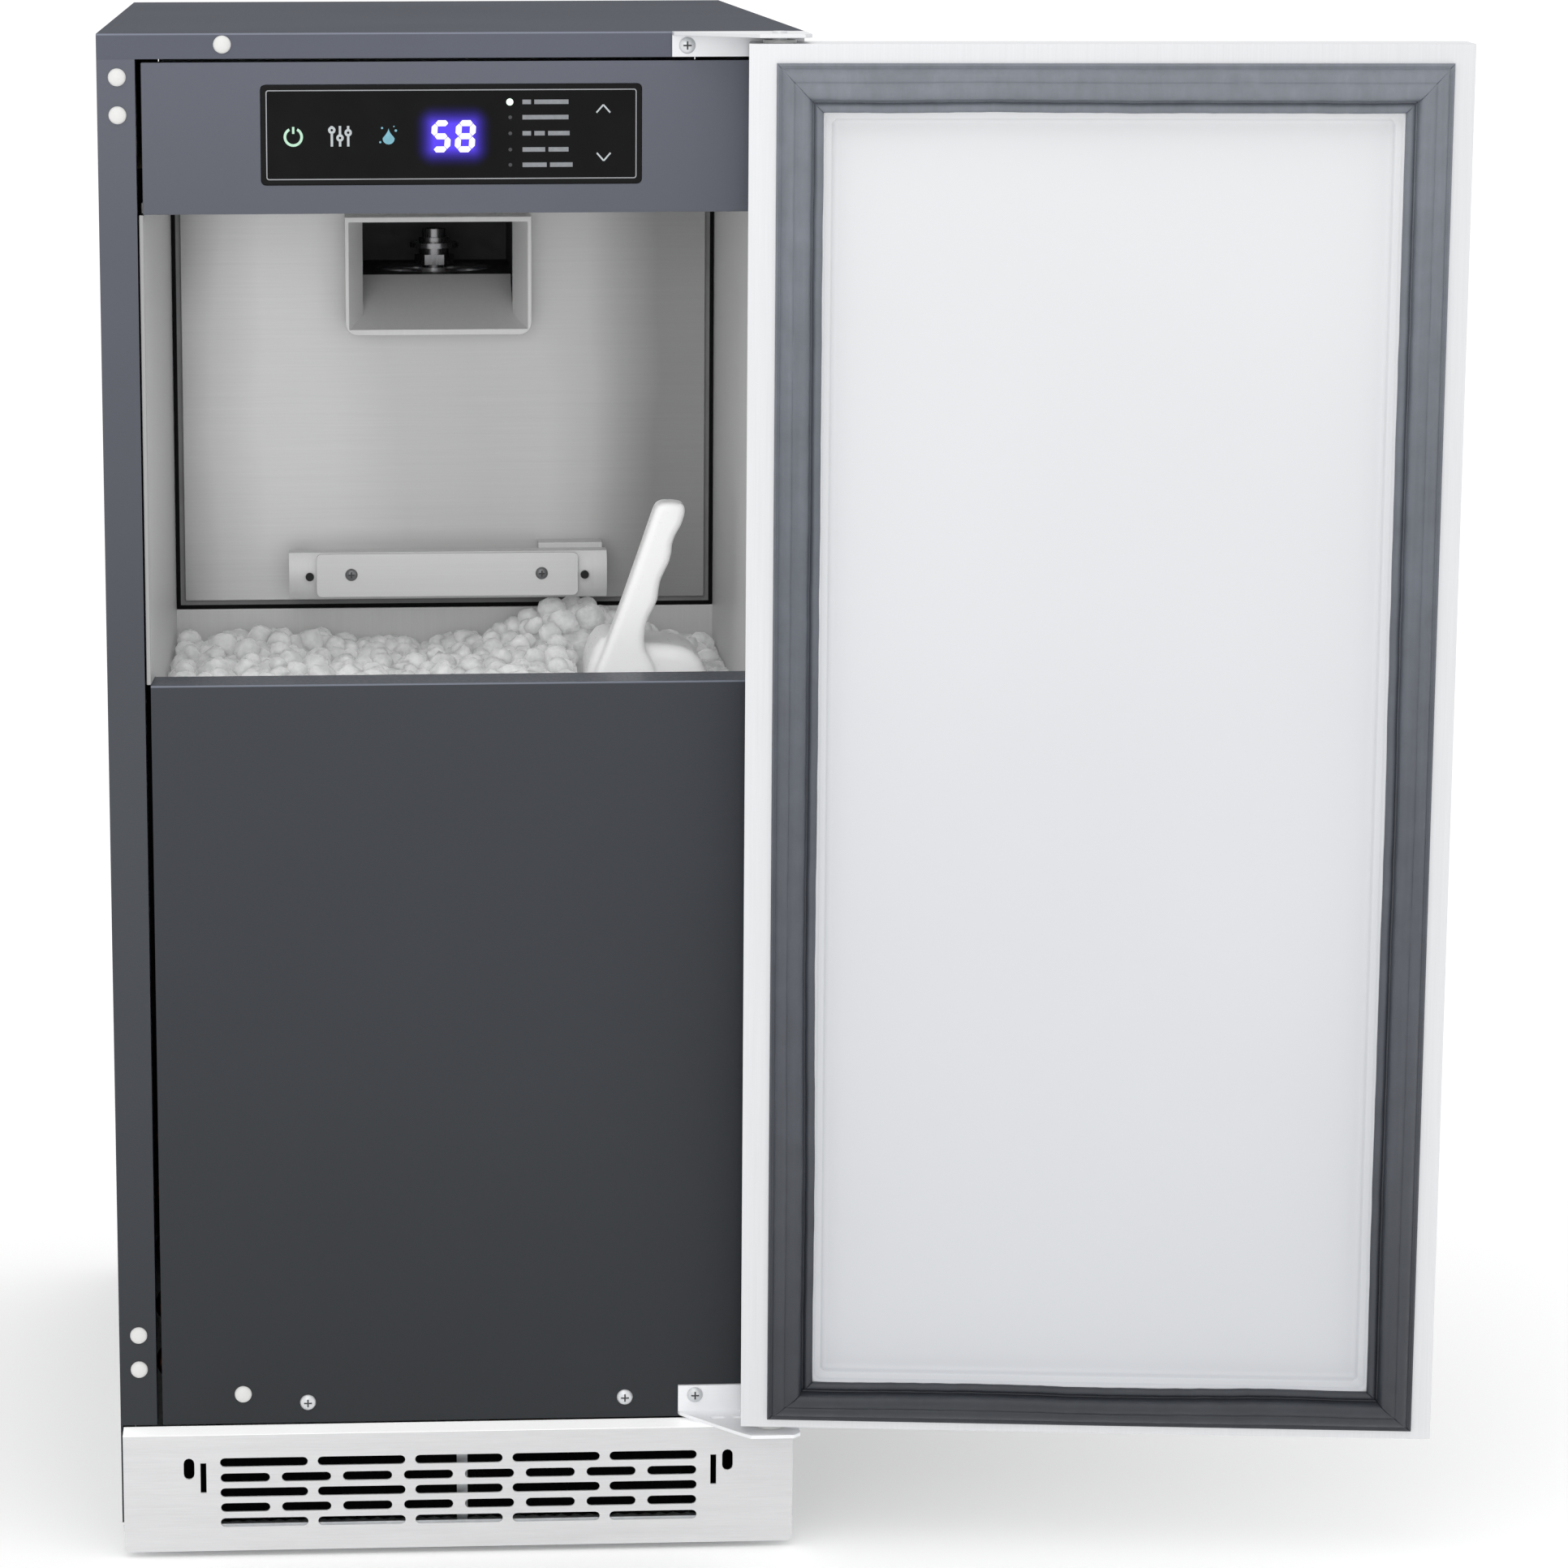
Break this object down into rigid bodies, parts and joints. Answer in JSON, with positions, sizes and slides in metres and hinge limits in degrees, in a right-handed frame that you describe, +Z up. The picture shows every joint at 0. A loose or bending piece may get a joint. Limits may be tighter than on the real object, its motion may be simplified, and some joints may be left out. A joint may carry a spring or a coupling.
{
  "type": "ice maker",
  "caption": "Undercounter nugget ice maker: grey steel cabinet, open ice bin with scoop, lit control panel, slotted kick plate and a hinged insulated door swung open.",
  "frame": {"origin": "on the floor, under the centre of the cabinet (door and hinges not counted)", "axes": "+Z up, -Y towards the user (the open side of the bin), +X towards the hinge side"},
  "size_m": [0.7279, 0.6456, 0.851],
  "materials": {
    "body_paint": "satin powder coat, slate grey",
    "galvanised": "galvanised sheet",
    "kick_steel": "brushed stainless",
    "liner_steel": "brushed stainless, dull",
    "sensor_plate": "satin stainless",
    "foam": "rigid foam",
    "black_rubber": "matte",
    "black_plastic": "matte",
    "display": "gloss black with lit symbols",
    "circuit": "solder mask green",
    "white_plastic": "satin white",
    "bright_steel": "bright stainless",
    "black_enamel": "black enamel",
    "alu_fins": "plain aluminium",
    "bronze": "sintered bronze",
    "gear_nylon": "natural nylon",
    "rotor_steel": "ground steel",
    "tank_plastic": "translucent white",
    "float_plastic": "moulded",
    "copper": "bare copper",
    "ice": "wet nugget ice",
    "scoop_plastic": "white, semi-gloss",
    "foot_black": "matte",
    "door_steel": "light satin stainless",
    "door_liner": "satin white",
    "gasket": "grey vinyl, satin"
  },
  "bodies": {
    "cabinet": {"left_side_panel": "body_paint", "right_side_panel": "body_paint", "top_cover": "body_paint", "back_panel": "galvanised", "base_pan": "galvanised", "kick_plate": "kick_steel", "control_fascia": "body_paint", "lower_front_panel": "body_paint", "bin_liner": "liner_steel", "bin_insulation": "foam", "machine_cover_panel": "liner_steel", "panel_seal": "black_rubber", "ice_chute": "liner_steel", "chute_duct": "black_plastic", "sensor_bar_housing": "liner_steel", "sensor_bar_cover": "sensor_plate", "sensor_eyes": "black_plastic", "display_bezel": "black_plastic", "display_glass": "display", "circuit_boards": "circuit", "hole_plugs": "white_plastic", "pan_head_screws": "bright_steel", "top_hinge_bracket": "bright_steel", "lower_hinge_bracket": "bright_steel", "hinge_pins": "bright_steel", "compressor": "black_enamel", "compressor_mounts": "black_rubber", "condenser_core": "alu_fins", "fan_shroud": "black_plastic", "fan_motor": "black_enamel", "evaporator_barrel": "bright_steel", "evaporator_jacket": "foam", "auger_bushes": "bronze", "gearbox_housing": "alu_fins", "gear_motor": "black_enamel", "water_reservoir": "tank_plastic", "inlet_valve": "white_plastic", "water_tubes": "tank_plastic", "drain_pump": "black_plastic", "drain_fitting": "white_plastic", "refrigerant_tubes": "copper", "power_inlet": "black_plastic", "ice_heap": "ice"},
    "scoop": {"scoop": "scoop_plastic"},
    "float": {"float": "float_plastic"},
    "fan": {"fan_blade": "alu_fins"},
    "auger": {"auger": "bright_steel", "drive_gear": "gear_nylon", "agitator_spindle": "bright_steel"},
    "rotor": {"motor_rotor": "rotor_steel"},
    "foot_front_left": {"foot_front_left": "foot_black"},
    "foot_front_right": {"foot_front_right": "foot_black"},
    "foot_rear_left": {"foot_rear_left": "foot_black"},
    "foot_rear_right": {"foot_rear_right": "foot_black"},
    "door": {"door_skin": "door_steel", "door_inner_panel": "door_liner", "door_core": "foam", "door_gasket": "gasket", "door_handle": "door_steel", "door_bushes": "white_plastic"}
  },
  "joints": [
    {"name": "door_hinge", "type": "hinge", "parent": "cabinet", "child": "door", "pos_m": [0.174, -0.2924, 0.46], "axis": [0, 0, 1], "range_deg": [-173.93, 0]},
    {"name": "scoop_lift", "type": "slide", "parent": "cabinet", "child": "scoop", "axis": [0, 0, 1], "range_m": [0, 0.09]},
    {"name": "float_rise", "type": "slide", "parent": "cabinet", "child": "float", "axis": [0, 0, 1], "range_m": [0, 0.015]},
    {"name": "fan_spin", "type": "hinge", "parent": "cabinet", "child": "fan", "pos_m": [-0.07, -0.146, 0.14], "axis": [0, 1, 0], "continuous": true},
    {"name": "auger_spin", "type": "hinge", "parent": "cabinet", "child": "auger", "pos_m": [-0.0035, -0.015, 0.6], "axis": [0, 0, 1], "continuous": true},
    {"name": "motor_spin", "type": "hinge", "parent": "cabinet", "child": "rotor", "pos_m": [-0.0035, 0.03, 0.45], "axis": [0, 0, 1], "continuous": true},
    {"name": "level_front_left", "type": "slide", "parent": "cabinet", "child": "foot_front_left", "axis": [0, 0, -1], "range_m": [0, 0.012]},
    {"name": "level_front_right", "type": "slide", "parent": "cabinet", "child": "foot_front_right", "axis": [0, 0, -1], "range_m": [0, 0.012]},
    {"name": "level_rear_left", "type": "slide", "parent": "cabinet", "child": "foot_rear_left", "axis": [0, 0, -1], "range_m": [0, 0.012]},
    {"name": "level_rear_right", "type": "slide", "parent": "cabinet", "child": "foot_rear_right", "axis": [0, 0, -1], "range_m": [0, 0.012]}
  ],
  "couplings": [
    {"joint": "motor_spin", "follows": "auger_spin", "ratio": -3}
  ]
}
